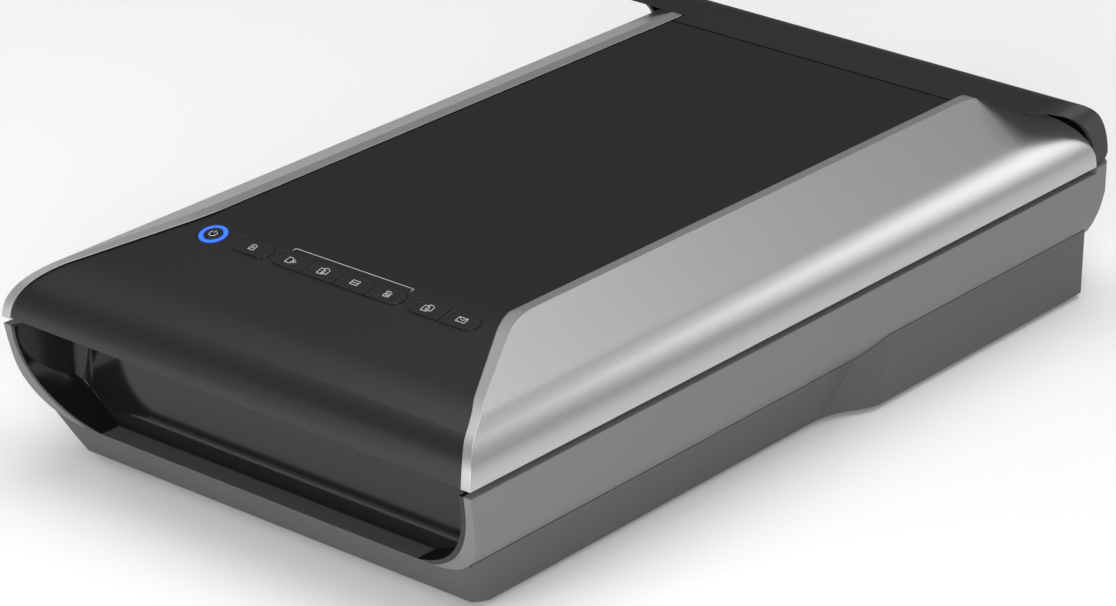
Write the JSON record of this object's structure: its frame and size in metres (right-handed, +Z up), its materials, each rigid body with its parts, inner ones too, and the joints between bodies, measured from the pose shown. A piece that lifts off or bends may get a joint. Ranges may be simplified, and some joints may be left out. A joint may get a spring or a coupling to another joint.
{
  "type": "flatbed scanner",
  "caption": "Flatbed scanner with a hinged lid that holds a film lamp, a row of push buttons, a front grip recess and a belt-driven scanning carriage.",
  "frame": {"origin": "middle of the footprint at desk height, under the rubber feet", "axes": "+X to the right as seen from the front, +Y to the rear, +Z up, lid closed and carriage at the front"},
  "size_m": [0.272, 0.484, 0.1097],
  "materials": {
    "upper_case_grey": "fine matte texture",
    "bottom_case_grey": "fine matte texture",
    "scoop_black": "polished",
    "clear_glass": "clear",
    "white_strip": "matte",
    "bright_steel": "ground",
    "zinc_steel": "zinc plated sheet",
    "black_plastic": "matte",
    "circuit_board": "solder mask",
    "socket_black": "smooth",
    "belt_rubber": "matte",
    "foot_rubber": "matte",
    "cable_white": "smooth",
    "screw_steel": "dark plated",
    "lock_grey": "smooth",
    "led_white": "smooth",
    "mirror_glass": "front-silvered",
    "lens_black": "satin",
    "mount_metal": "die cast",
    "bush_brass": "sintered",
    "white_plastic": "smooth",
    "leg_metal": "satin",
    "panel_black": "semi-gloss",
    "trim_silver": "satin silver paint",
    "cover_black": "matte",
    "frame_grey": "matte",
    "diffuser_white": "opal",
    "light_guide_clear": "clear",
    "key_black": "smooth",
    "ring_blue": "translucent",
    "mat_white": "matte"
  },
  "bodies": {
    "base": {"upper_case": "upper_case_grey", "bottom_case": "bottom_case_grey", "front_grip_scoop": "scoop_black", "platen_glass": "clear_glass", "calibration_strip": "white_strip", "guide_rod": "bright_steel", "rod_clips": "black_plastic", "slide_rails": "zinc_steel", "main_board": "circuit_board", "usb_socket": "zinc_steel", "power_jack": "socket_black", "stepper_motor": "zinc_steel", "motor_bracket": "zinc_steel", "idler_bracket": "black_plastic", "idler_spring": "bright_steel", "drive_belt": "belt_rubber", "hinge_sleeves": "black_plastic", "ribbon_cable_run": "cable_white", "rubber_feet": "foot_rubber", "case_screws": "screw_steel"},
    "lock": {"transport_lock": "lock_grey"},
    "carriage": {"carriage_frame": "black_plastic", "carriage_cover": "lens_black", "led_light_bar": "led_white", "fold_mirrors": "mirror_glass", "lens_barrel": "lens_black", "lens_mount": "mount_metal", "ccd_board": "circuit_board", "rod_bushes": "bush_brass", "glide_pads": "white_plastic", "belt_clamp": "black_plastic"},
    "pinion": {"motor_pinion": "bush_brass"},
    "gear": {"reduction_gear": "white_plastic"},
    "idler": {"idler_pulley": "white_plastic"},
    "legs": {"hinge_legs": "leg_metal"},
    "lid": {"lid_top_panel": "panel_black", "left_side_trim": "trim_silver", "right_side_trim": "trim_silver", "lid_inner_frame": "frame_grey", "rear_hinge_cover": "cover_black", "film_diffuser": "diffuser_white", "film_light_guide": "light_guide_clear", "film_led_strip": "led_white", "film_lamp_housing": "white_plastic", "button_board": "circuit_board", "button_bezel": "key_black", "power_light_ring": "ring_blue", "hinge_brackets": "zinc_steel", "hinge_pins": "bright_steel", "lid_bumpers": "foot_rubber", "lid_screws": "screw_steel"},
    "mat": {"document_mat": "mat_white"},
    "power_button": {"power_button": "key_black"},
    "auto_scan_button": {"auto_scan_button": "key_black"},
    "pdf_button_1": {"pdf_button_1": "key_black"},
    "pdf_button_2": {"pdf_button_2": "key_black"},
    "pdf_button_3": {"pdf_button_3": "key_black"},
    "pdf_button_4": {"pdf_button_4": "key_black"},
    "copy_button": {"copy_button": "key_black"},
    "email_button": {"email_button": "key_black"}
  },
  "joints": [
    {"name": "hinge_lift", "type": "slide", "parent": "base", "child": "legs", "axis": [0, 0, 1], "range_m": [0, 0.012]},
    {"name": "lid_hinge", "type": "hinge", "parent": "legs", "child": "lid", "pos_m": [0, 0.2337, 0.0775], "axis": [-1, 0, 0], "range_deg": [0, 90]},
    {"name": "mat_slide", "type": "slide", "parent": "lid", "child": "mat", "axis": [0, -1, 0], "range_m": [0, 0.008]},
    {"name": "carriage_slide", "type": "slide", "parent": "base", "child": "carriage", "axis": [0, 1, 0], "range_m": [0, 0.292]},
    {"name": "gear_spin", "type": "hinge", "parent": "base", "child": "gear", "pos_m": [-0.06, 0.2005, 0.0175], "axis": [0, 0, 1], "range_deg": [0, 2793]},
    {"name": "pinion_spin", "type": "hinge", "parent": "base", "child": "pinion", "pos_m": [-0.08892, 0.2005, 0.0175], "axis": [0, 0, 1], "range_deg": [-9774, 0]},
    {"name": "idler_spin", "type": "hinge", "parent": "base", "child": "idler", "pos_m": [-0.06, -0.192, 0.011], "axis": [0, 0, 1], "range_deg": [0, 2793]},
    {"name": "lock_slide", "type": "slide", "parent": "base", "child": "lock", "axis": [1, 0, 0], "range_m": [0, 0.008]},
    {"name": "power_button_press", "type": "slide", "parent": "lid", "child": "power_button", "axis": [0, 0.225, -0.9744], "range_m": [0, 0.0008], "stiffness_N_per_m": 600, "springref_m": -0.0005},
    {"name": "auto_scan_button_press", "type": "slide", "parent": "lid", "child": "auto_scan_button", "axis": [0, 0.225, -0.9744], "range_m": [0, 0.0008], "stiffness_N_per_m": 600, "springref_m": -0.0005},
    {"name": "pdf_button_1_press", "type": "slide", "parent": "lid", "child": "pdf_button_1", "axis": [0, 0.225, -0.9744], "range_m": [0, 0.0008], "stiffness_N_per_m": 600, "springref_m": -0.0005},
    {"name": "pdf_button_2_press", "type": "slide", "parent": "lid", "child": "pdf_button_2", "axis": [0, 0.225, -0.9744], "range_m": [0, 0.0008], "stiffness_N_per_m": 600, "springref_m": -0.0005},
    {"name": "pdf_button_3_press", "type": "slide", "parent": "lid", "child": "pdf_button_3", "axis": [0, 0.225, -0.9744], "range_m": [0, 0.0008], "stiffness_N_per_m": 600, "springref_m": -0.0005},
    {"name": "pdf_button_4_press", "type": "slide", "parent": "lid", "child": "pdf_button_4", "axis": [0, 0.225, -0.9744], "range_m": [0, 0.0008], "stiffness_N_per_m": 600, "springref_m": -0.0005},
    {"name": "copy_button_press", "type": "slide", "parent": "lid", "child": "copy_button", "axis": [0, 0.225, -0.9744], "range_m": [0, 0.0008], "stiffness_N_per_m": 600, "springref_m": -0.0005},
    {"name": "email_button_press", "type": "slide", "parent": "lid", "child": "email_button", "axis": [0, 0.225, -0.9744], "range_m": [0, 0.0008], "stiffness_N_per_m": 600, "springref_m": -0.0005}
  ],
  "couplings": [
    {"joint": "gear_spin", "follows": "carriage_slide", "rad_per_m": 166.67},
    {"joint": "pinion_spin", "follows": "carriage_slide", "rad_per_m": -583.33},
    {"joint": "idler_spin", "follows": "carriage_slide", "rad_per_m": 166.67}
  ]
}
